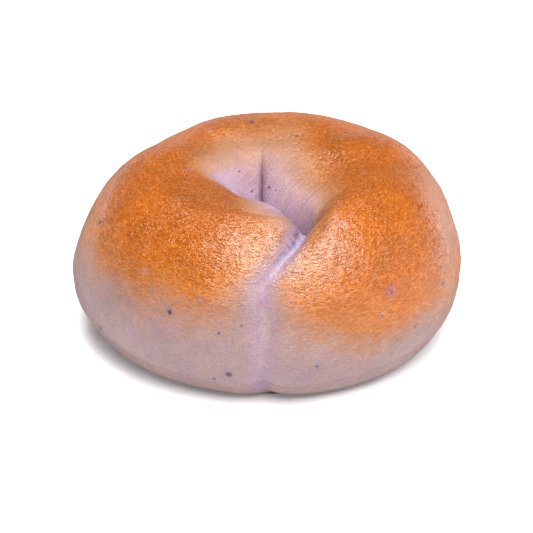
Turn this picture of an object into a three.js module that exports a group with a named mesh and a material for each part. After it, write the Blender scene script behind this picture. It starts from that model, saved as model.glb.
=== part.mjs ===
// A puffed ring bagel, baked in one piece. Its hole has closed in the oven to a slanting cleft.
// A fold runs from the cleft up the back wall, and the seam where the two ends of the dough rope
// were pressed together runs from the cleft over the front to the underside.
// Millimetres, +Z up. The origin is the middle of the flat underside, +X is to the right, and -Y
// is the front, where the seam is.
import * as THREE from "three";
import { mergeVertices } from "three/addons/utils/BufferGeometryUtils.js";

const { smoothstep, degToRad, lerp } = THREE.MathUtils;
const bell = (distance, width) => Math.exp(-((distance / width) ** 2));

// Driving dimensions
const WIDTH = 109.5;
const DEPTH = 104;
const HEIGHT = 50.5;
const HALF_WIDTH = WIDTH / 2;

// The cleft, drawn out of the round hole: it is deep at the front right end and fades out at the
// back left end. Its front left wall is the steep one, up to a lip that leans over the cleft.
const CLEFT = {
  centre: new THREE.Vector2(-4.2, -12.6),
  halfLength: 16.8,
  angle: degToRad(-43),
  halfWidth: 0.35,
  floor: 0.42 * HEIGHT,
  backLeftHeight: 0.955 * HEIGHT,
  lipHeight: 0.96 * HEIGHT,
  easySideLift: 3.2,
};

// The fold in the back wall of the cleft
const FOLD = { x: -3, bottom: -3, top: 15, depth: 6 };

// The seam: where it starts by the cleft, where it reaches the front, and how deep it lies
const SEAM = { startX: 9.5, startY: -22.5, frontX: -2.4, frontY: -48, valley: 9.5, groove: 0.8 };

// The undercut just above the flat underside, where the dough sat on the tray
const FOOT = { height: 7.5, depth: 0.7 };

// The middle of the dough rope
const CORE_RADIUS = 28;
const CORE_HEIGHT = 22;

// How finely the surface is cut into facets
const COLUMNS = 128;
const DOME_ROWS = 36;
const BASE_ROWS = 3;
const NAVEL_ROWS = 4;

// The half section, from the floor of the cleft over the crown to the middle of the underside.
function halfSection() {
  const dome = new THREE.SplineCurve([
    new THREE.Vector2(CLEFT.halfWidth, CLEFT.floor),
    new THREE.Vector2(1.3, 0.6 * HEIGHT),
    new THREE.Vector2(4, 0.71 * HEIGHT),
    new THREE.Vector2(9, 0.815 * HEIGHT),
    new THREE.Vector2(14.5, 0.9 * HEIGHT),
    new THREE.Vector2(20.5, 0.967 * HEIGHT),
    new THREE.Vector2(0.5 * HALF_WIDTH, HEIGHT),
    new THREE.Vector2(0.65 * HALF_WIDTH, 0.97 * HEIGHT),
    new THREE.Vector2(0.8 * HALF_WIDTH, 0.875 * HEIGHT),
    new THREE.Vector2(0.92 * HALF_WIDTH, 0.7 * HEIGHT),
    new THREE.Vector2(0.99 * HALF_WIDTH, 0.5 * HEIGHT),
    new THREE.Vector2(HALF_WIDTH, 0.38 * HEIGHT),
    new THREE.Vector2(0.97 * HALF_WIDTH, 0.22 * HEIGHT),
    new THREE.Vector2(0.89 * HALF_WIDTH, 0.08 * HEIGHT),
    new THREE.Vector2(0.76 * HALF_WIDTH, 0),
  ]);
  const navel = new THREE.SplineCurve([
    new THREE.Vector2(10, 0),
    new THREE.Vector2(7, 1.2),
    new THREE.Vector2(3, 4.5),
    new THREE.Vector2(0, 6),
  ]);
  const base = new THREE.LineCurve(dome.points.at(-1), navel.points[0]);
  return [
    new THREE.Vector2(0, CLEFT.floor),
    ...dome.getSpacedPoints(DOME_ROWS),
    ...base.getPoints(BASE_ROWS).slice(1),
    ...navel.getPoints(NAVEL_ROWS).slice(1),
  ];
}

// How much to add where something is missing, with a soft start in place of a corner.
function filled(missing, softness) {
  if (missing < -4 * softness) return 0;
  return (missing + Math.hypot(missing, 2 * softness)) / 2;
}

// Draws the round hole out into the cleft: the circles near the middle become ellipses about a
// slanting line, and the outside keeps its plan. The back left end is filled up to a shallow
// trough, and the front left side is filled up to the lip. Returns the distance behind the
// cleft's line.
function drawOutCleft(p) {
  const radius = Math.hypot(p.x, p.y);
  const angle = Math.atan2(p.y, p.x);
  const top = smoothstep(p.z, 0.25 * HEIGHT, 0.4 * HEIGHT);
  const reach = CLEFT.halfLength * (1 - smoothstep(radius, 0, 44)) * top;
  const along = radius ? Math.hypot(radius, reach) * Math.cos(angle) : 0;
  const across = radius * Math.sin(angle);
  const inner = (1 - smoothstep(radius, 0, 40)) * top;
  const offFloor = top * smoothstep(radius, 0.35, 4);

  const shallow = top * smoothstep(-along, -8, 9) * (1 - smoothstep(radius, 18, 27));
  const steep = offFloor * smoothstep(-Math.sin(angle), -0.1, 0.9);
  const easy = offFloor * smoothstep(Math.sin(angle), -0.4, 0.8);
  p.z += shallow * filled(CLEFT.backLeftHeight - p.z, 1.6);
  p.z += CLEFT.easySideLift * easy * bell(radius - 9.5, 5.5) * (1 - shallow);
  const lipHeight = CLEFT.lipHeight + 0.025 * HEIGHT * smoothstep(radius, 6, 18);
  const lip = steep * smoothstep(radius, 1.5, 6.5) * (1 - smoothstep(radius, 19, 26));
  p.z += lip * filled(lipHeight - p.z, 0.6);
  p.z -= 6.5 * shallow * smoothstep(along, -20, 1) * bell(across - 1, 7);

  const cos = Math.cos(CLEFT.angle);
  const sin = Math.sin(CLEFT.angle);
  const lean = 1 - 0.45 * steep * bell(radius - 4, 9);
  p.x = along * cos - lean * across * sin + inner * CLEFT.centre.x;
  p.y = along * sin + lean * across * cos + inner * CLEFT.centre.y;
  return across;
}

// Presses the fold into the back wall. The skin slopes down to the fold from the left and steps
// up again on its right.
function pressFold(p, across) {
  if (p.z < 0.4 * HEIGHT) return;
  const side = p.x - FOLD.x;
  const fade = smoothstep(across, 0.5, 4) * (1 - smoothstep(p.y, FOLD.bottom, FOLD.top));
  const tuck = side < 0 ? Math.exp(side / 2.6) : Math.exp(-side / 0.7);
  const crease = FOLD.depth * fade * (0.6 * tuck + 0.4 * bell(side, 5));
  const dip = 1.3 * bell(side, 10) * smoothstep(p.y, 8, 20) * (1 - smoothstep(p.y, 24, 44));
  p.z -= crease + dip;
}

// How deep the skin is pressed in along the seam. It lies in a valley by the cleft, and the valley
// runs out on the front, where a shallow groove goes on to the underside and ends in a notch.
function seamDepth(p) {
  if (p.y > 0) return 0;
  const run = Math.max(0, (p.y - SEAM.startY) / (SEAM.frontY - SEAM.startY));
  const away = p.x - lerp(SEAM.startX, SEAM.frontX, Math.min(1, run) ** 3);
  const begun = smoothstep(-p.y, -SEAM.startY - 6, -SEAM.startY + 3);
  const onFront = smoothstep(run, 0.35, 1);
  const valley = 0.9 + (SEAM.valley - 0.9) * Math.max(0, 1 - run) ** 1.6;
  const valleyWidth = lerp(away < 0 ? 3.6 : 5, 5, onFront);
  const groove = lerp(SEAM.groove, 0.5, onFront) * bell(away, 1.6);
  const notch = 0.8 * bell(away, 3) * bell(p.z - 8, 6);
  return begun * (valley * bell(away, valleyWidth) + groove + notch);
}

// Moves the skin towards the middle of the dough rope for the seam and the foot, and a little in
// and out for the uneven swell of the dough. The flat underside stays flat.
function pressSkin(p) {
  if (p.z < 0.01) return;
  const around = Math.atan2(p.y, p.x);
  const radius = Math.hypot(p.x, p.y);
  const footLine = FOOT.height + 1.5 * Math.cos(2 * around);
  const foot = FOOT.depth * bell(p.z - footLine, 2.2) * (0.6 - 0.4 * Math.sin(around + 0.6));
  const swell = 0.35 * Math.cos(5 * around + 1.3 + 0.05 * p.z) + 0.25 * Math.cos(8 * around - 0.08 * p.z);
  const grown = swell * smoothstep(p.z, 2, 14) * smoothstep(radius, 12, 26);
  const depth = seamDepth(p) + foot * smoothstep(radius, 30, 40) - grown;

  const out = new THREE.Vector2(radius - CORE_RADIUS, p.z - CORE_HEIGHT).normalize();
  const pressed = (radius - depth * out.x) / radius;
  p.x *= pressed;
  p.y *= pressed;
  p.z = Math.max(0.02, p.z - depth * out.y);
}

// Gives the round plan its uneven outline, and lets one side of the crown stand higher.
function settle(p) {
  const around = Math.atan2(p.y, p.x);
  const outer = smoothstep(Math.hypot(p.x, p.y), 12, 40);
  const plan = 1 + outer * (0.018 * Math.sin(2 * around) - 0.018 * Math.cos(3 * around - degToRad(27)));
  p.x *= plan;
  p.y *= (plan * DEPTH) / WIDTH;
  p.z *= 1 + outer * (0.016 * Math.cos(around) - 0.011 * Math.sin(2 * around));
}

function bagelGeometry() {
  const lathe = new THREE.LatheGeometry(halfSection().reverse(), COLUMNS);
  lathe.rotateX(Math.PI / 2);
  lathe.deleteAttribute("normal");
  lathe.deleteAttribute("uv");
  const geometry = mergeVertices(lathe, 1e-4);
  const positions = geometry.getAttribute("position");
  const p = new THREE.Vector3();
  for (let i = 0; i < positions.count; i++) {
    p.fromBufferAttribute(positions, i);
    const across = drawOutCleft(p);
    pressFold(p, across);
    pressSkin(p);
    settle(p);
    positions.setXYZ(i, p.x, p.y, p.z);
  }
  geometry.computeBoundingBox();
  const middle = geometry.boundingBox.getCenter(new THREE.Vector3());
  geometry.translate(-middle.x, -middle.y, 0);
  geometry.computeVertexNormals();
  return geometry;
}

const crust = new THREE.MeshStandardMaterial({ color: 0xc97a3a, roughness: 0.45, metalness: 0 });
const bagel = new THREE.Mesh(bagelGeometry(), crust);
bagel.name = "bagel";

const part = new THREE.Group();
part.add(bagel);
export default part;
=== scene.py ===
# %% [markdown]
# # A blueberry bagel whose hole has puffed shut
# A bagel is a rope of dough joined into a ring, boiled, and baked on a flat tray. Here the dough
# rose so far that the hole closed to a slanting cleft. The outside is one skin all over, so the
# whole bagel is modelled as one closed mesh with one material.

import math
import random

import bmesh
import bpy
import numpy as np
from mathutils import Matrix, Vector, noise


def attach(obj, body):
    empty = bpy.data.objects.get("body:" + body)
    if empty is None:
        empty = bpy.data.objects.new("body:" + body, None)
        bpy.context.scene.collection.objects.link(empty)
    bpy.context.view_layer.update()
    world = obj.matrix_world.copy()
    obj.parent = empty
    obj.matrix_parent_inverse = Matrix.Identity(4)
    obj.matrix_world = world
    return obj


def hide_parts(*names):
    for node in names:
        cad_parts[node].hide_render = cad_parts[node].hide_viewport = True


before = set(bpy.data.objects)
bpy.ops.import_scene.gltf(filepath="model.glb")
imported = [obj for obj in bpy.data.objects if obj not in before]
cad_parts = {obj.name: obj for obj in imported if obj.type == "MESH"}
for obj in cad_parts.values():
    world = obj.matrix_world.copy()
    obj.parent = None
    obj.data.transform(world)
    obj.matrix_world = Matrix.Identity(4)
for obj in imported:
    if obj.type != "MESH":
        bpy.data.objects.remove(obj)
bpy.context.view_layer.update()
MM = 0.001  # metres in a millimetre

# %% [markdown]
# ## Sizes
# The sizes that drive the shape are kept together, in millimetres. The cleft is the closed hole,
# the trough is its shallow left end, the lip leans over it from the front left, and the fold is the
# crease in its back wall. The seam is where the two ends of the rope were pressed together, and the
# core is the middle of the dough rope.

# %% Sizes of the bagel
WIDTH, DEPTH, HEIGHT = 109.5, 104.0, 50.5
HALF = WIDTH / 2
CLEFT_CENTRE, CLEFT_HALF_LENGTH, CLEFT_ANGLE = (-4.2, -12.6), 16.8, math.radians(-43)
CLEFT_FLOOR, EASY_SIDE_LIFT = 0.42 * HEIGHT, 3.2
TROUGH_HEIGHT, TROUGH_DEPTH = 0.955 * HEIGHT, 6.5
LIP_HEIGHT, LIP_RISE, LIP_LEAN = 0.96 * HEIGHT, 0.025 * HEIGHT, 0.45
FOLD_X, FOLD_BOTTOM, FOLD_TOP, FOLD_DEPTH = -3.0, -3.0, 15.0, 6.0
SEAM_START, SEAM_FRONT, SEAM_VALLEY, SEAM_GROOVE = (9.5, -22.5), (-2.4, -48.0), 9.5, 0.8
FOOT_HEIGHT, FOOT_DEPTH = 7.5, 0.7
NAVEL_RADIUS, NAVEL_HEIGHT = 10, 6
CORE_RADIUS, CORE_HEIGHT = 28.0, 22.0
COLUMNS, DOME_ROWS, BASE_ROWS, NAVEL_ROWS = 440, 196, 10, 8
print("the bagel is", WIDTH, "mm wide,", DEPTH, "mm deep and", HEIGHT, "mm high before it settles")

# %% [markdown]
# ## Soft edges between two states
# Dough has no sharp borders, so every change of shape or colour fades in and out. A smooth step goes
# from 0 to 1 between two places, and a bell is 1 in the middle and falls away on both sides.

# %% Helpers for soft edges
def smoothstep(value, low, high):
    t = np.clip((value - low) / (high - low), 0, 1)
    return t * t * (3 - 2 * t)


def bell(distance, width):
    return np.exp(-((distance / width) ** 2))


def mix(a, b, t):
    return a + (b - a) * t


print("half way up a smooth step is", smoothstep(5, 0, 10))

# %% [markdown]
# ## The half section
# Cut a bagel from the hole to the rim and it shows a rounded section with a flat underside. A
# smooth curve through a few points gives that outline. It could be drawn by hand with Bezier
# handles, but points with plain heights are easier to change. The navel is the small hollow left
# under the closed hole.

# %% Draw the half section
def walk_along(line):
    """How far each point of a line is from its start, measured along the line."""
    return np.concatenate([[0], np.cumsum(np.hypot(*np.diff(line, axis=0).T))])


def curve_through(points, count):
    """Evenly spaced points on a smooth curve that passes through all the given points."""
    points = np.array(points, float)
    last = len(points) - 1
    t = np.linspace(0, last, 4001)
    i = np.minimum(t.astype(int), last - 1)
    w = (t - i)[:, None]
    before, start, end, after = (points[np.clip(i + k, 0, last)] for k in (-1, 0, 1, 2))
    v0, v1 = (end - before) / 2, (after - start) / 2
    cubic = 2 * start - 2 * end + v0 + v1
    square = 3 * end - 3 * start - 2 * v0 - v1
    curve = cubic * w**3 + square * w**2 + v0 * w + start
    length = walk_along(curve)
    steps = np.linspace(0, length[-1], count)
    return np.stack([np.interp(steps, length, curve[:, k]) for k in (0, 1)], 1)


dome = curve_through([
    (0.35, CLEFT_FLOOR), (1.3, 0.6 * HEIGHT), (4, 0.71 * HEIGHT), (9, 0.815 * HEIGHT),
    (14.5, 0.9 * HEIGHT), (20.5, 0.967 * HEIGHT), (0.5 * HALF, HEIGHT), (0.65 * HALF, 0.97 * HEIGHT),
    (0.8 * HALF, 0.875 * HEIGHT), (0.92 * HALF, 0.7 * HEIGHT), (0.99 * HALF, 0.5 * HEIGHT),
    (HALF, 0.38 * HEIGHT), (0.97 * HALF, 0.22 * HEIGHT), (0.89 * HALF, 0.08 * HEIGHT), (0.76 * HALF, 0),
], DOME_ROWS + 1)
navel = curve_through([(NAVEL_RADIUS, 0), (7, 1.2), (3, 4.5), (0, NAVEL_HEIGHT)], NAVEL_ROWS + 1)
flat = np.stack([np.linspace(dome[-1, 0], NAVEL_RADIUS, BASE_ROWS + 1), np.zeros(BASE_ROWS + 1)], 1)
section = np.concatenate([[(0, CLEFT_FLOOR)], dome, flat[1:], navel[1:]])
walked = walk_along(section)
print("the half section has", len(section), "points and is", round(float(walked[-1])), "mm long")

# %% [markdown]
# ## Spin it into a ring
# Dough proves evenly all round, so a spin about the upright axis makes the ring in one step. The
# section starts and ends on the axis, and its doubled points there are merged, so the skin is one
# closed surface. A spin slows down a lot with many steps, so one slice of an eighth is spun first
# and then repeated round. The length walked along the section is kept on each point, because the
# wrinkles of the crust follow it later.

# %% Spin the half section
bm = bmesh.new()
walked_layer = bm.verts.layers.float.new("walked")
points = []
for (r, z), length in zip(section, walked):
    point = bm.verts.new((r * MM, 0, z * MM))
    point[walked_layer] = length
    points.append(point)
edges = [bm.edges.new(pair) for pair in zip(points, points[1:])]
bmesh.ops.spin(bm, geom=points + edges, cent=(0, 0, 0), axis=(0, 0, 1),
               angle=math.pi / 4, steps=COLUMNS // 8)
bmesh.ops.spin(bm, geom=bm.verts[:] + bm.edges[:] + bm.faces[:], cent=(0, 0, 0), axis=(0, 0, 1),
               angle=math.pi * 7 / 4, steps=7, use_duplicate=True)
bmesh.ops.remove_doubles(bm, verts=bm.verts, dist=1e-7)
bmesh.ops.recalc_face_normals(bm, faces=bm.faces)
ring = np.array([v.co for v in bm.verts]) / MM
walked = np.array([v[walked_layer] for v in bm.verts])
ring_radius = np.hypot(ring[:, 0], ring[:, 1])
ring_angle = np.arctan2(ring[:, 1], ring[:, 0])
upper_side = walked < walked.max() * 0.6
inner_side = upper_side & (ring_radius < 0.5 * HALF)
print("the ring has", len(bm.verts), "points and", len(bm.faces), "faces")

# %% [markdown]
# ## Close the hole to a cleft
# The hole closed unevenly, so it is a slit and not a dimple. Each circle near the middle is drawn
# out to an ellipse about a slanting line, and the pull fades to nothing at the rim. The back left
# end of the slit is filled up to a shallow trough, and the front left side is filled up to a lip
# that leans over the slit. A slit could also be cut with a boolean, but then its edges would be
# sharp, and here the skin has to roll over into it. The innermost circle is closed by a fan to one
# point. The floor of the slit slopes, so the straight spokes of the fan stand out of its deep end as
# a thin fin and sink into its shallow end. A strip of faces across the slit would follow the floor.

# %% Draw the hole out to a cleft
def filled(missing, softness):
    """How much to add where something is missing, with a soft start in place of a corner."""
    return (missing + np.hypot(missing, 2 * softness)) / 2 * (missing > -4 * softness)


x, y, z = ring.T.copy()
top = smoothstep(z, 0.25 * HEIGHT, 0.4 * HEIGHT)
reach = CLEFT_HALF_LENGTH * (1 - smoothstep(ring_radius, 0, 44)) * top
along = np.hypot(ring_radius, reach) * np.cos(ring_angle) * (ring_radius > 0)
across = ring_radius * np.sin(ring_angle)
inner = (1 - smoothstep(ring_radius, 0, 40)) * top
shallow = top * smoothstep(-along, -8, 9) * (1 - smoothstep(ring_radius, 18, 27))
steep = top * smoothstep(-np.sin(ring_angle), -0.1, 0.9) * smoothstep(ring_radius, 0.35, 4)
easy = top * smoothstep(np.sin(ring_angle), -0.4, 0.8) * smoothstep(ring_radius, 0.35, 4)
z += shallow * filled(TROUGH_HEIGHT - z, 1.6)
z += EASY_SIDE_LIFT * easy * bell(ring_radius - 9.5, 5.5) * (1 - shallow)
lip_height = LIP_HEIGHT + LIP_RISE * smoothstep(ring_radius, 6, 18)
lip = steep * smoothstep(ring_radius, 1.5, 6.5) * (1 - smoothstep(ring_radius, 19, 26))
z += lip * filled(lip_height - z, 0.6)
z -= TROUGH_DEPTH * shallow * smoothstep(along, -20, 1) * bell(across - 1, 7)
lean = 1 - LIP_LEAN * steep * bell(ring_radius - 4, 9)
cos, sin = math.cos(CLEFT_ANGLE), math.sin(CLEFT_ANGLE)
x = along * cos - lean * across * sin + inner * CLEFT_CENTRE[0]
y = along * sin + lean * across * cos + inner * CLEFT_CENTRE[1]
cleft_floor = z[inner_side & (ring_radius < 0.5)].min()
print("the cleft's floor is", round(float(cleft_floor), 1), "mm above the tray at its deepest")

# %% [markdown]
# ## Fold, seam and foot
# The back wall of the cleft has a fold: the skin slopes down to it from the left and steps up
# again on its right. The seam lies in a valley by the cleft, goes on as a shallow groove down the
# front and ends in a notch at the foot. The foot is drawn in a little above the tray. The seam
# and the foot push the skin towards the core of the rope, so that they work on the crown and on
# the sides alike.

# %% Press in the fold, the seam and the foot
side = x - FOLD_X
fade = (z > 0.4 * HEIGHT) * smoothstep(across, 0.5, 4) * (1 - smoothstep(y, FOLD_BOTTOM, FOLD_TOP))
tuck = np.where(side < 0, np.exp(np.minimum(side, 0) / 2.6), np.exp(-np.maximum(side, 0) / 0.7))
z -= FOLD_DEPTH * fade * (0.6 * tuck + 0.4 * bell(side, 5))
z -= 1.3 * top * bell(side, 10) * smoothstep(y, 8, 20) * (1 - smoothstep(y, 24, 44))

run = np.maximum(0, (y - SEAM_START[1]) / (SEAM_FRONT[1] - SEAM_START[1]))
seam_away = x - mix(SEAM_START[0], SEAM_FRONT[0], np.minimum(1, run) ** 3)
begun = smoothstep(-y, -SEAM_START[1] - 6, -SEAM_START[1] + 3) * (y < 0)
on_front = smoothstep(run, 0.35, 1)
valley = 0.9 + (SEAM_VALLEY - 0.9) * np.maximum(0, 1 - run) ** 1.6
groove = mix(SEAM_GROOVE, 0.5, on_front) * bell(seam_away, 1.6)
seam_width = mix(np.where(seam_away < 0, 3.6, 5), 5, on_front)
notch = 0.8 * bell(seam_away, 3) * bell(z - 8, 6)
seam_depth = begun * (valley * bell(seam_away, seam_width) + groove + notch)

around = np.arctan2(y, x)
radius = np.hypot(x, y)
foot_line = FOOT_HEIGHT + 1.5 * np.cos(2 * around)
foot_draw = FOOT_DEPTH * (0.6 - 0.4 * np.sin(around + 0.6)) * smoothstep(radius, 30, 40)
foot = foot_draw * bell(z - foot_line, 2.2)
swell = 0.35 * np.cos(5 * around + 1.3 + 0.05 * z) + 0.25 * np.cos(8 * around - 0.08 * z)
grown = swell * smoothstep(z, 2, 14) * smoothstep(radius, 12, 26)


def push_in(x, y, z, depth):
    """Moves the skin towards the core of the rope, and leaves the flat underside flat."""
    radius = np.maximum(np.hypot(x, y), 1e-6)
    out_r, out_z = radius - CORE_RADIUS, z - CORE_HEIGHT
    size = np.maximum(np.hypot(out_r, out_z), 1e-6)
    depth = np.where(z < 0.01, 0, depth)
    pressed = (radius - depth * out_r / size) / radius
    lower = np.where(z < 0.01, 0, 0.02)
    return x * pressed, y * pressed, np.maximum(np.where(z < 0.01, z, lower), z - depth * out_z / size)


x, y, z = push_in(x, y, z, seam_depth + foot - grown)
print("the seam is pressed in by up to", round(float(seam_depth.max()), 1), "mm,",
      "and the foot by", round(float(foot.max()), 2), "mm")

# %% [markdown]
# ## Settle the dough
# Nobody shapes a perfect ring by hand. The plan bulges a little in three places, and the crown
# stands higher on the right. A few slow waves round the bagel give that, and they leave the cleft
# as it is.

# %% Settle the plan and the crown
around = np.arctan2(y, x)
outer = smoothstep(np.hypot(x, y), 12, 40)
plan = 1 + outer * (0.018 * np.sin(2 * around) - 0.018 * np.cos(3 * around - math.radians(27)))
x *= plan
y *= plan * DEPTH / WIDTH
z *= 1 + outer * (0.016 * np.cos(around) - 0.011 * np.sin(2 * around))
print("it is now", [round(float(np.ptp(values)), 1) for values in (x, y, z)], "mm")

# %% [markdown]
# ## Lumps and lines in the skin
# Up close the skin is never smooth. The crown has soft lumps a few millimetres wide, the walls of
# the cleft have fine lines and two small pleats that run down into it, and the seam is a rough
# scar with a lap on its right. These are real relief, so they are moved points and not only a
# bump in the material.

# %% Add the relief
skin = np.stack([40 * np.cos(ring_angle), 40 * np.sin(ring_angle), walked], 1)
place = np.stack([x, y, z], 1)


def noise_at(where, scale, seed):
    """Smooth noise from -1 to 1 at each place, with lumps about 'scale' wide."""
    shift = Vector((seed * 17.3, seed * 5.1, seed * 9.7))
    return np.array([noise.noise(Vector(p) / scale + shift) for p in where])


crown = smoothstep(z, 6, 20)
lumps = 0.16 * noise_at(place, 6.0, 1) + 0.09 * noise_at(place, 2.8, 2)
lines = noise_at(skin * (1.0, 1.0, 0.12), 2.6, 3)
on_walls = inner_side * smoothstep(ring_radius, 0.8, 4) * (1 - smoothstep(ring_radius, 12, 22))
on_walls = on_walls * (1 - 0.7 * shallow)
scar = begun * bell(seam_away, 1.9) * mix(1, 0.35, on_front)
pits = noise_at(place, 1.5, 4)
lap = begun * (1 - on_front) * (0.7 * bell(seam_away - 2.4, 1.6) - 0.5 * bell(seam_away - 0.6, 0.8))
pleats = bell(ring_angle - 0.35, 0.07) + 0.7 * bell(ring_angle - 0.65, 0.06)
pleats *= inner_side * smoothstep(ring_radius, 0.8, 2.5) * (1 - smoothstep(ring_radius, 4, 9))
relief = lumps * crown + 0.11 * lines * on_walls + 0.28 * pits * scar + lap - 0.45 * pleats
x, y, z = push_in(x, y, z, -relief)
print("relief from", round(float(relief.min()), 2), "to", round(float(relief.max()), 2), "mm")

# %% [markdown]
# ## Masks for the crust's colour
# Heat browns the skin that sticks up and leaves it pale where it is shaded: in the cleft, along
# the seam and round the foot. How brown each point is depends on the shape, so it is worked out
# here and kept on the mesh, and the material adds the fine grain. The pale skin reaches furthest
# out of the cleft behind it and towards the seam, and least over the front left lip.

# %% Work out how brown each point is
def turned_from(angle, direction):
    """The angle between a place and a direction, from -pi to pi."""
    return np.angle(np.exp(1j * (angle - direction)))


middle_x, middle_y = (x.max() + x.min()) / 2, (y.max() + y.min()) / 2
x, y = x - middle_x, y - middle_y
around = np.arctan2(y, x)
front_left = bell(turned_from(around, math.radians(-115)), 0.6)
left = bell(turned_from(around, math.radians(175)), 0.8)
front_right = bell(turned_from(around, math.radians(-55)), 0.55)
patches = noise_at(place, 14, 5)
left_tip = bell(np.abs(ring_angle) - math.pi, 0.6)
back_left = bell(turned_from(ring_angle, 2.4), 0.8)
pale_reach = 15 + 8 * bell(ring_angle - 2.1, 0.5) + 16 * bell(ring_angle + 0.6, 0.45)
pale_reach -= 2 * bell(np.abs(ring_angle) - math.pi, 0.4) + 9.5 * bell(ring_angle + 2.0, 0.6)
on_crown = upper_side & (ring_radius < 42)
from_cleft = np.where(on_crown, ring_radius / pale_reach, 9) + 0.18 * patches
right = bell(around - 0.2, 0.6)
fade_height = 24 - 7 * right + 6 * front_left + 8 * left - 3 * front_right
fade_height += 8 * bell(seam_away, 7) * (y < 0) + 4 * patches
sides = smoothstep(z, fade_height - 14, fade_height + 15)
walls = smoothstep(from_cleft, 0.4, 1.5 + 0.15 * back_left + 0.9 * left_tip)
pale_width = np.where(seam_away < 0, mix(7, 10, on_front), mix(0.9, 8, on_front))
beside_seam = np.exp(-np.abs(seam_away) / pale_width)
baked = sides * walls * (1 - 0.93 * begun * beside_seam)
underside = (z < 0.6) & (ring_radius < 44)
print("browned share of the skin:", round(float(baked.mean()), 2))

# %% [markdown]
# ## Finish the mesh
# The points go back to metres on the one closed mesh, and the bagel becomes an object that stands at
# the origin with its place in its mesh. What the material needs to know about each point is stored
# as attributes, so the colours stay on the skin wherever the bagel is moved.

# %% Finish the mesh
for v, co in zip(bm.verts, np.stack([x, y, z], 1) * MM):
    v.co = co
for face in bm.faces:
    face.smooth = True
mesh = bpy.data.meshes.new("bagel_crust")
bm.to_mesh(mesh)
bm.free()
bagel = bpy.data.objects.new("bagel_crust", mesh)
bpy.context.scene.collection.objects.link(bagel)
print("middle moved by", round(float(middle_x), 2), round(float(middle_y), 2), "mm;",
      len(mesh.polygons), "faces")

# %% [markdown]
# ## Masks that the material reads
# A mask is one number on each point, such as how brown or how glossy the skin is there. The cleft
# and the seam have masks of their own, because the skin there was never turned to the heat. Three
# of them paint shade into the colour: deep in the cleft, down the fold's crease and along the left
# edge of the scar.

# %% Keep the masks of the crust
def keep(name, values):
    """Keeps a value, or a vector, on each point of the mesh for the material to read."""
    kind = "FLOAT" if np.ndim(values) == 1 else "FLOAT_VECTOR"
    layer = mesh.attributes.new(name, kind, "POINT")
    layer.data.foreach_set("value" if kind == "FLOAT" else "vector", np.ravel(values).astype(np.float32))
    print("kept", name, "from", round(float(np.min(values)), 2), "to", round(float(np.max(values)), 2))


keep("baked", baked)
glossy = smoothstep(z - 9 * front_right, fade_height - 10, fade_height + 16) * walls
keep("gloss", glossy * (1 - 0.5 * begun * bell(seam_away, 2)))
keep("skin", skin * MM)
keep("under", underside.astype(float))
keep("inner", on_crown * smoothstep(ring_radius, 2, 6) * (1 - smoothstep(ring_radius, 24, 34)))

# %% Keep the masks of the cleft
shaded = 1 - smoothstep(from_cleft + 0.3 * left_tip, 0.4, 1.0)
seam_shade = bell(seam_away, np.where(seam_away < 0, 5, 3))
keep("wall", np.maximum(shaded, 0.6 * begun * smoothstep(run, 0.2, 0.9) * seam_shade))
soft_edge = bell(from_cleft - 0.85 - 0.3 * left_tip, 0.36 + 0.05 * back_left + 0.4 * left_tip)
off_seam = 1 - begun * bell(seam_away, 6)
keep("rim", on_crown * soft_edge * off_seam * (1 - 0.8 * bell(ring_angle + 1.9, 0.5)))
# Painted shadow: a thin dark line down the fold's crease, where the two walls meet in shade.
keep("crease_shadow", np.sqrt(fade) * (1 - smoothstep(y, 4, 12)) * bell(side + 0.1, 0.45))
# Painted shade: the colour darkens deep in the cleft and on both sides of the fold, where the walls lie
# in shade.
shade_beside_fold = np.where(side > 0, np.exp(-np.abs(side) / 3), np.exp(-np.abs(side) / 1.2))
depth_shade = np.maximum(1 - smoothstep(z, 35, 44.5), 0.75 * fade * shade_beside_fold)
keep("deep", np.where(inner_side, depth_shade, 0))

# %% Keep the masks of the seam
scar_width = np.where(seam_away < -0.3, 3.0, 1.5) * (1 - smoothstep(run, 0.55, 1.0)) + 0.3
keep("scar", begun * bell(seam_away + 0.3, scar_width) * (1 - smoothstep(run, 0.75, 1.0)))
# Painted shadow: dark plum dashes along the left edge of the scar, where the skin steps down into it in
# shade.
keep("seam_edge_shadow", begun * bell(seam_away + 1.6, 0.9) * (1 - smoothstep(run, 0.6, 0.9)))
keep("streak", on_front * bell(seam_away - 0.6, 0.9) * bell(z - 27, 5))

# %% [markdown]
# ## The crust
# The skin of a boiled and baked dough is a thin glossy film over fine wrinkles. Its colour runs
# from lilac, berry-stained dough where it is shaded, through tan, to orange brown on the crown.
# Everything about it is made with nodes, so it stays sharp at any distance, and a few short
# helpers keep the node building readable.

# %% Helpers for materials
crust = bpy.data.materials.new("crust")
crust.use_nodes = True
nodes, links = crust.node_tree.nodes, crust.node_tree.links
nodes.clear()


def node(kind, inputs=None, **settings):
    """Adds a node. An input is a value, or another node's output socket to link from."""
    new = nodes.new("ShaderNode" + kind)
    for name, value in settings.items():
        setattr(new, name, value)
    for name, value in (inputs or {}).items():
        if isinstance(value, bpy.types.NodeSocket):
            links.new(value, new.inputs[name])
        else:
            new.inputs[name].default_value = value
    return new


def math_node(operation, a, b=0.0, c=0.0, clamp=False):
    return node("Math", {0: a, 1: b, 2: c}, operation=operation, use_clamp=clamp).outputs[0]


def vector_node(operation, a, b, c=(0.0, 0.0, 0.0)):
    return node("VectorMath", {0: a, 1: b, 2: c}, operation=operation).outputs["Vector"]


def attribute(name, output="Fac"):
    return node("Attribute", attribute_name=name).outputs[output]


def noise_fac(vector, scale, detail=2.0, **inputs):
    return node("TexNoise", {"Vector": vector, "Scale": scale, "Detail": detail, **inputs}).outputs["Fac"]


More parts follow.
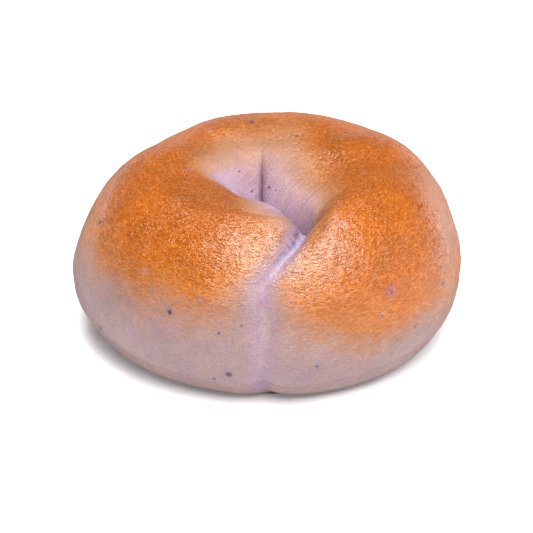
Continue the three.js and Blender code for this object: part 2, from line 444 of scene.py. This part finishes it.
def colour_mix(fac, a, b):
    mixed = node("Mix", {"Factor": fac}, data_type="RGBA")
    for socket, value in ((mixed.inputs[6], a), (mixed.inputs[7], b)):
        if isinstance(value, bpy.types.NodeSocket):
            links.new(value, socket)
        else:
            socket.default_value = value
    return mixed.outputs[2]


def map_range(value, low, high, to_low=0.0, to_high=1.0):
    inputs = {"Value": value, "From Min": low, "From Max": high, "To Min": to_low, "To Max": to_high}
    return node("MapRange", inputs).outputs["Result"]


print("the material is called", crust.name)

# %% [markdown]
# ## Berry flecks
# Bits of blueberry skin lie in the dough and show as small dark spots with a purple stain round
# them. Each fleck has a middle on the skin and a size. The material measures how far a point is
# from every middle and keeps the nearest, so the spots stay sharp however close one looks. The
# ones that show most are listed one by one, and the rest are strewn by a seeded random choice. Small
# blisters, where steam lifted the skin, are placed in the same way.

# %% Place the flecks on the skin
FLECKS = [  # x, y, z in mm, radius in mm, faintness
    (-46.5, -11.5, 38.5, 0.85, 0.0), (-26.5, -43.5, 29, 0.8, 0.0), (-4.5, 27, 49.5, 0.7, 0.1),
    (-10.5, -49.5, 13, 1.0, 0.0), (-46.5, -26, 13, 1.2, 0.4), (-8.5, 3, 45, 0.4, 0.2),
    (1.5, -1, 43, 0.5, 0.1), (3.5, -2.5, 42.5, 0.35, 0.2), (-5.5, -1, 41.5, 0.35, 0.1),
    (-13, -49.5, 26, 0.5, 0.2), (-7, -49.5, 28.5, 0.45, 0.3), (-14.5, -47.5, 10, 0.45, 0.1),
    (34, -38.5, 32.5, 1.8, 0.75), (48.5, -25, 27, 0.8, 0.4), (40.5, -36.5, 20, 0.6, 0.4),
    (31, -42, 27, 0.6, 0.3), (15.5, -31.5, 49, 0.7, 0.3), (8.5, 18, 49.5, 0.6, 0.3),
    (13.5, -50.5, 16, 0.6, 0.4), (37.5, -36, 9.5, 0.7, 0.4), (-17.5, -41.5, 3, 0.7, 0.1),
    (-38, -35, 27, 1.3, 0.9), (-22, -1.5, 48.5, 1.2, 0.9), (-18, -45.5, 34, 1.5, 1.0),
]
STREWN = 26
chance = random.Random(11)
for _ in range(STREWN):
    turn = math.radians(chance.uniform(0, 165))
    height = chance.uniform(4, 46)
    size = chance.choice((0.5, 0.6, 0.8, 1.0, 1.4))
    FLECKS.append((55 * math.cos(turn), 52 * math.sin(turn), height, size, chance.uniform(0, 0.8)))
print(len(FLECKS) - STREWN, "flecks placed by hand and", STREWN, "strewn round the back")

# %% Place the blisters on the skin
BLISTERS = [  # x, y, z in mm, radius in mm, faintness
    (1, 16.5, 48.5, 1.0, 0.1), (4, 18.5, 49, 0.9, 0.1), (5.5, 11.5, 48, 0.9, 0.2),
    (8, 11.5, 48.5, 1.1, 0.0), (8.5, 18.5, 49.5, 0.7, 0.2), (-24.5, -17, 49.5, 1.6, 0.6),
    (-22.5, -23.5, 49, 1.4, 0.6), (-33.5, -34, 36, 1.3, 0.0), (21, -30, 49.5, 1.3, 0.4),
    (27, -5, 51, 1.2, 0.3), (-7, -40, 45, 0.8, 0.3), (-32, -39, 30, 0.9, 0.3),
    (-16.5, 21, 50, 1.3, 0.2), (-12, 30, 49.5, 1.3, 0.2), (38, 12, 46, 1.5, 0.3),
    (20, 30, 48, 1.3, 0.3),
]
print(len(BLISTERS), "blisters")


# %% A node group that finds the nearest spot
def spot_group(name, spots):
    """A node group that gives the distance to the nearest spot, counted in its radius."""
    group = bpy.data.node_groups.new(name, "ShaderNodeTree")
    group.interface.new_socket("Place", in_out="INPUT", socket_type="NodeSocketVector")
    group.interface.new_socket("Nearest", in_out="OUTPUT", socket_type="NodeSocketFloat")
    start, end = group.nodes.new("NodeGroupInput"), group.nodes.new("NodeGroupOutput")
    nearest = None
    for sx, sy, sz, size, faint in spots:
        away = group.nodes.new("ShaderNodeVectorMath")
        away.operation = "DISTANCE"
        away.inputs[1].default_value = bagel.closest_point_on_mesh(Vector((sx, sy, sz)) * MM)[1]
        group.links.new(start.outputs["Place"], away.inputs[0])
        ratio = group.nodes.new("ShaderNodeMath")
        ratio.operation = "MULTIPLY_ADD"
        ratio.inputs[1].default_value = 1 / (size * MM)
        ratio.inputs[2].default_value = faint
        group.links.new(away.outputs["Value"], ratio.inputs[0])
        if nearest:
            least = group.nodes.new("ShaderNodeMath")
            least.operation = "MINIMUM"
            group.links.new(nearest.outputs[0], least.inputs[0])
            group.links.new(ratio.outputs[0], least.inputs[1])
            ratio = least
        nearest = ratio
    group.links.new(nearest.outputs[0], end.inputs["Nearest"])
    return group


flecks, blisters = spot_group("berry_flecks", FLECKS), spot_group("blisters", BLISTERS)
print("the fleck group has", len(flecks.nodes), "nodes, the blister group", len(blisters.nodes))

# %% [markdown]
# ## Colour
# The browning picks a colour from a ramp, and fine grain breaks the edge of the brown up into
# stipple, as it does on real crust. The shaded walls, the peach rim, the scar and the underside are
# laid over it one after another, each through its own mask, and so are painted shade deep in the
# cleft, a painted shadow line down the fold's crease and painted shadow dashes along the scar.

# %% Grain of the crust
position = node("TexCoord").outputs["Object"]
skin_place = attribute("skin", "Vector")
grain = noise_fac(position, 2300, 2)
mottle = noise_fac(position, 420, 3)
cloud = noise_fac(position, 90, 3)
baked_value = attribute("baked")
fine = math_node("MULTIPLY", math_node("SUBTRACT", grain, 0.5), 0.9)
coarse = math_node("MULTIPLY", math_node("SUBTRACT", mottle, 0.5), 0.5)
stippled = math_node("ADD", math_node("ADD", baked_value, fine), coarse, clamp=True)
print("the grain uses", len(nodes), "nodes")

# %% Browning of the crust
BROWNING = [  # how brown, colour
    (0.0, (0.45, 0.285, 0.325, 1)), (0.35, (0.53, 0.25, 0.17, 1)),
    (0.68, (0.65, 0.178, 0.008, 1)), (1.0, (0.62, 0.134, 0.0, 1)),
]
WARM_TAN = (0.53, 0.34, 0.29, 1)
ramp = node("ValToRGB", {"Fac": stippled})
stops = ramp.color_ramp.elements
stops[0].color, stops[1].color = BROWNING[0][1], BROWNING[-1][1]
for how_brown, stop_colour in BROWNING[1:-1]:
    stops.new(how_brown).color = stop_colour
warm_patches = map_range(noise_fac(position, 130, 3), 0.42, 0.62, 0, 0.55)
warm = math_node("MULTIPLY", warm_patches, map_range(baked_value, 0, 0.5, 1, 0))
colour = colour_mix(warm, ramp.outputs["Color"], WARM_TAN)
print("the browning runs over", len(stops), "colours")

# %% Shaded skin in the cleft and along the seam
SHADED_LILAC, PEACH, DEEP_SHADE_PLUM = (0.53, 0.335, 0.47, 1), (0.78, 0.38, 0.21, 1), (0.27, 0.14, 0.27, 1)
CREASE_SHADOW, SCAR_LILAC, SEAM_EDGE_SHADOW = (0.06, 0.02, 0.03, 1), (0.52, 0.40, 0.62, 1), (0.27, 0.14, 0.24, 1)
BARE_DOUGH, TRAY_BROWN = (0.66, 0.47, 0.34, 1), (0.50, 0.24, 0.09, 1)
seam_edge_shadows = math_node("MULTIPLY", attribute("seam_edge_shadow"), map_range(noise_fac(position, 750, 1), 0.42, 0.56))
for share, tint in (
    (map_range(attribute("wall"), 0.1, 0.8), SHADED_LILAC),
    (math_node("MULTIPLY", attribute("rim"), 0.55), PEACH),
    # painted shade: darker plum deep in the cleft and beside the fold
    (math_node("MULTIPLY", attribute("deep"), 0.65), DEEP_SHADE_PLUM),
    # painted shadow: a dark line down the fold's crease
    (attribute("crease_shadow"), CREASE_SHADOW),
    (attribute("scar"), SCAR_LILAC),
    # painted shadow: dark dashes along the left edge of the scar
    (seam_edge_shadows, SEAM_EDGE_SHADOW),
    (math_node("MULTIPLY", attribute("streak"), 0.6), BARE_DOUGH),
    (attribute("under"), TRAY_BROWN),
):
    colour = colour_mix(share, colour, tint)
print("with the shaded skin the colour uses", len(nodes), "nodes")

# %% [markdown]
# ## Spots over the colour
# Flecks are nearly black in the middle and stain the dough round them, blisters are a little paler
# than the crust, and the pinch is the purple spot where the seam was nipped shut. Each place is
# shaken by a little noise before its distance is measured, which makes the outlines ragged.

# %% Flecks, stains and blisters
PINCH = (-0.0014, -0.0467, 0.0339)  # metres
RAGGED_BY = 0.0009  # metres
PINCH_PURPLE, BLISTER_PINK = (0.42, 0.14, 0.32, 1), (0.60, 0.34, 0.36, 1)
BERRY_STAIN, BERRY_SKIN = (0.30, 0.17, 0.33, 1), (0.035, 0.012, 0.045, 1)
ragged = node("TexNoise", {"Vector": position, "Scale": 700, "Detail": 2}).outputs["Color"]
ragged = vector_node("SUBTRACT", ragged, (0.5, 0.5, 0.5))
ragged = vector_node("MULTIPLY_ADD", ragged, (RAGGED_BY,) * 3, position)
to_fleck = node("Group", {"Place": ragged}, node_tree=flecks).outputs["Nearest"]
to_blister = node("Group", {"Place": ragged}, node_tree=blisters).outputs["Nearest"]
to_pinch = node("VectorMath", {0: ragged, 1: PINCH}, operation="DISTANCE").outputs["Value"]
for share, tint in (
    (map_range(to_pinch, 0.0004, 0.002, 0.5, 0), PINCH_PURPLE),
    (map_range(to_blister, 0.5, 1.5, 0.32, 0), BLISTER_PINK),
    (map_range(to_fleck, 0.8, 2.2, 0.5, 0), BERRY_STAIN),
    (map_range(to_fleck, 0.6, 1.15, 0.95, 0), BERRY_SKIN),
):
    colour = colour_mix(share, colour, tint)
print("the crust's colour uses", len(nodes), "nodes so far")

# %% [markdown]
# ## Wrinkles
# The wrinkles are worm-like, about a millimetre apart and drawn out round the bagel. They are too
# fine to be geometry, so they are a gentle bump. One noise on the skin's own coordinates is folded
# over at its middle value, which gives lines in place of lumps. A strong bump would spread the shine
# over the whole crown. Finer lines run down the pale walls of the cleft.

# %% Wrinkles in the bump
drawn_round = vector_node("MULTIPLY", skin_place, (0.62, 0.62, 1.2))
folds = noise_fac(drawn_round, 1000, 1.0, Distortion=1.0)
ridges = math_node("SUBTRACT", 1.0, math_node("ABSOLUTE", math_node("MULTIPLY_ADD", folds, 5.0, -2.5)))
height = math_node("MULTIPLY", ridges, map_range(attribute("gloss"), 0.1, 0.9, 0.35, 1.0))
radial_place = vector_node("MULTIPLY", skin_place, (1.0, 1.0, 0.1))
radial_noise = noise_fac(radial_place, 620, 3, Distortion=0.6)
radial = math_node("MULTIPLY", radial_noise, map_range(baked_value, 0.6, 0.0, 0, 2.5))
height = math_node("ADD", height, math_node("MULTIPLY", radial, attribute("inner")))
height = math_node("ADD", height, map_range(to_blister, 0.5, 1.3, 1.5, 0))
wrinkle_bump = node("Bump", {"Height": height, "Distance": 0.0001, "Strength": 1.0})
print("the bump stands", round(wrinkle_bump.inputs["Distance"].default_value / MM, 2), "mm high")

# %% [markdown]
# ## Gloss
# Boiling leaves a thin shiny film, and it shows most on the browned crown, so the gloss mask lowers
# the roughness there. At a glancing angle the wrinkles hide one another and the skin looks duller,
# which Layer Weight can tell.

# %% Gloss of the film
dough_roughness = map_range(mottle, 0.3, 0.7, 0.50, 0.60)
roughness = math_node("SUBTRACT", dough_roughness, math_node("MULTIPLY", attribute("gloss"), 0.39))
facing = node("LayerWeight", {"Blend": 0.5}).outputs["Facing"]
roughness = math_node("ADD", roughness, map_range(facing, 0.6, 0.92, 0.0, 0.42))
print("the gloss makes it", len(nodes), "nodes")

# %% [markdown]
# ## Light and dark of the wrinkles
# A bump alone leaves the wrinkles too faint, so the colour follows them too: a painted highlight on
# the thin crests, with a little painted shade on the skin between them. Grain and wide clouds keep
# the brown from looking painted. The whole colour is then scaled down, because the film's own shine
# adds light on top of it.

# %% Light and dark of the wrinkles
CREST_HIGHLIGHT, UNDER_FILM = (0.98, 0.50, 0.16, 1), 0.45
contrast = map_range(baked_value, 0.1, 0.8, 0.35, 1.0)
# Painted highlight on the wrinkle crests, and painted shade a little darker between them.
crest_highlight = math_node("MULTIPLY", map_range(ridges, 0.8, 1.0), contrast)
shade = math_node("MULTIPLY", map_range(ridges, 0.0, 0.8, -0.17, 0.02), contrast)
shade = math_node("ADD", shade, math_node("MULTIPLY", crest_highlight, 0.36))
grain_depth = map_range(baked_value, 0.2, 0.9, 0.36, 0.18)
specks = math_node("MULTIPLY", map_range(grain, 0.3, 0.7, -0.5, 0.5), grain_depth)
shade = math_node("ADD", shade, specks)
shade = math_node("ADD", shade, map_range(cloud, 0.3, 0.7, 0.9, 1.1))
streaks = math_node("MULTIPLY", map_range(radial, 0.7, 1.8, -0.1, 0.12), attribute("inner"))
shade = math_node("ADD", shade, streaks)
colour = colour_mix(math_node("MULTIPLY", crest_highlight, 0.26), colour, CREST_HIGHLIGHT)
shade = math_node("MULTIPLY", shade, UNDER_FILM)
colour = node("VectorMath", {0: colour, "Scale": shade}, operation="SCALE").outputs["Vector"]
print("the wrinkles' colour makes it", len(nodes), "nodes")

# %% [markdown]
# ## Put the crust on the bagel
# One shader takes the colour, the roughness and the bump. The bagel rides on the part's only body
# and stands for the plain solid of the same shape.

# %% Put the crust on the bagel
shader = node("BsdfPrincipled", {
    "Base Color": colour, "Roughness": roughness, "Normal": wrinkle_bump.outputs["Normal"], "IOR": 1.55,
})
node("OutputMaterial", {"Surface": shader.outputs["BSDF"]})
mesh.materials.append(crust)
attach(bagel, "root")
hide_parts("bagel")
print("the crust has", len(nodes), "nodes")

# %% [markdown]
# ## The table and the light
# The bagel stands on a white table in a small studio. One big softbox is in front and above, a
# smaller one is overhead, a wide dim one is on the right, and the room itself is white. The table
# glows a little, so that the shadow under the bagel stays soft.

# %% Table
bm = bmesh.new()
bmesh.ops.create_grid(bm, x_segments=1, y_segments=1, size=2.0)
floor_mesh = bpy.data.meshes.new("table")
bm.to_mesh(floor_mesh)
bm.free()
floor = bpy.data.objects.new("table", floor_mesh)
bpy.context.scene.collection.objects.link(floor)
white = bpy.data.materials.new("white_table")
white.use_nodes = True
white_shader = white.node_tree.nodes["Principled BSDF"]
for name, value in (("Base Color", (0.9, 0.9, 0.9, 1)), ("Roughness", 0.9),
                    ("Emission Color", (1, 1, 1, 1)), ("Emission Strength", 0.12)):
    white_shader.inputs[name].default_value = value
floor_mesh.materials.append(white)
print("the table is", [round(side, 1) for side in floor.dimensions], "m")


# %% Light
def look_at(thing, target):
    thing.rotation_euler = (Vector(target) - thing.location).to_track_quat("-Z", "Y").to_euler()


def softbox(name, place, target, size, energy):
    light = bpy.data.lights.new(name, "AREA")
    light.size = size
    light.energy = energy
    lamp = bpy.data.objects.new(name, light)
    lamp.location = place
    look_at(lamp, target)
    bpy.context.scene.collection.objects.link(lamp)


BAGEL_MIDDLE, BAGEL_SIDE = (0, 0, 0.03), (0, 0, 0.02)
softbox("key_softbox", (0.13, -0.37, 0.78), BAGEL_MIDDLE, 0.72, 16.6)
softbox("overhead_softbox", (-0.12, 0.08, 0.80), BAGEL_MIDDLE, 0.35, 4.2)
softbox("right_fill", (1.0, -0.15, 0.35), BAGEL_SIDE, 1.2, 1.7)
ROOM_LIGHT = 0.18
world = bpy.data.worlds.new("white_room")
world.use_nodes = True
world.node_tree.nodes["Background"].inputs["Color"].default_value = (1, 1, 1, 1)
world.node_tree.nodes["Background"].inputs["Strength"].default_value = ROOM_LIGHT
bpy.context.scene.world = world
bpy.context.scene.view_settings.view_transform = "Standard"

# %% [markdown]
# ## The camera
# It looks at the front of the bagel from about 31 degrees above the table, from far enough away
# for the shape not to be stretched.

# %% Camera
CAMERA_DISTANCE, CAMERA_ELEVATION, CAMERA_LENS = 0.9, math.radians(31), 213.6
AIM_X, AIM_HEIGHT = -1.47, 17.5
camera_data = bpy.data.cameras.new("camera")
camera_data.lens = CAMERA_LENS
camera_data.sensor_width = 36
camera = bpy.data.objects.new("camera", camera_data)
aim = Vector((AIM_X - float(middle_x), -float(middle_y), AIM_HEIGHT)) * MM
backwards = Vector((0, -math.cos(CAMERA_ELEVATION), math.sin(CAMERA_ELEVATION)))
camera.location = aim + CAMERA_DISTANCE * backwards
look_at(camera, aim)
bpy.context.scene.collection.objects.link(camera)
bpy.context.scene.camera = camera
print("the camera is", round((camera.location - aim).length, 2), "m away")
